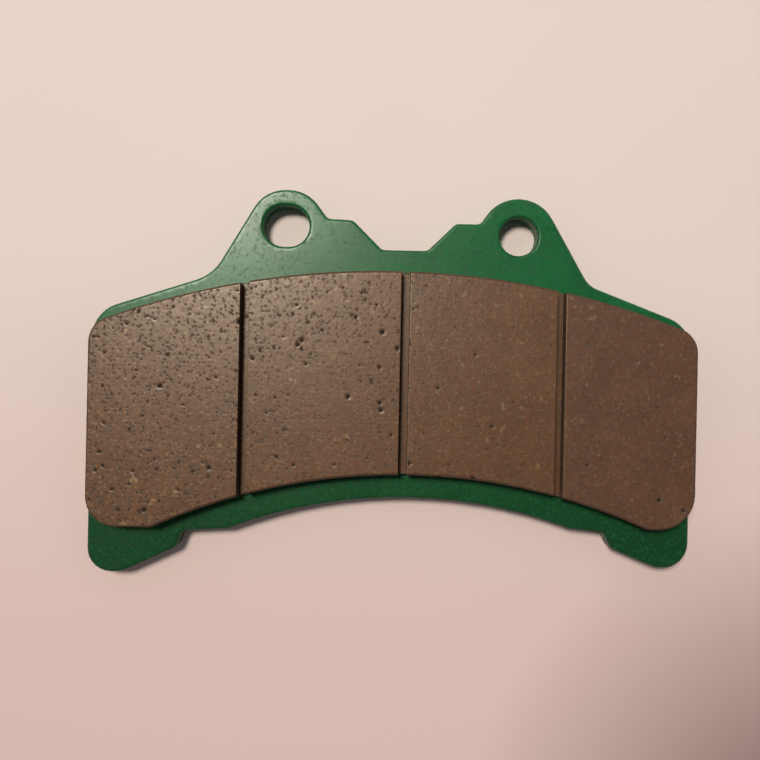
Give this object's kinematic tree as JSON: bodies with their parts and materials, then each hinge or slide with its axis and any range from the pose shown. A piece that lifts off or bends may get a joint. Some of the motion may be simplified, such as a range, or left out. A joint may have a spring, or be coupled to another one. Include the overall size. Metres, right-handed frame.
{
  "type": "brake pad",
  "caption": "Disc brake pad: green painted steel plate with pin ears and feet, and a brown grooved friction lining.",
  "frame": {"origin": "centre of the bounding box in X and Y, on the back face of the plate", "axes": "+X along the pad towards the round pin hole, +Y towards the pin ears, +Z out of the friction face towards the disc"},
  "size_m": [0.1204, 0.0772, 0.0088],
  "materials": {
    "plate_paint": "satin green paint on steel",
    "adhesive": "dark cured resin",
    "underlayer": "matte moulded compound",
    "friction": "matte speckled brown compound"
  },
  "bodies": {
    "root": {"backing_plate": "plate_paint", "bond_film": "adhesive", "lining_underlayer": "underlayer", "friction_block_1": "friction", "friction_block_2": "friction", "friction_block_3": "friction", "friction_block_4": "friction"}
  },
  "joints": []
}
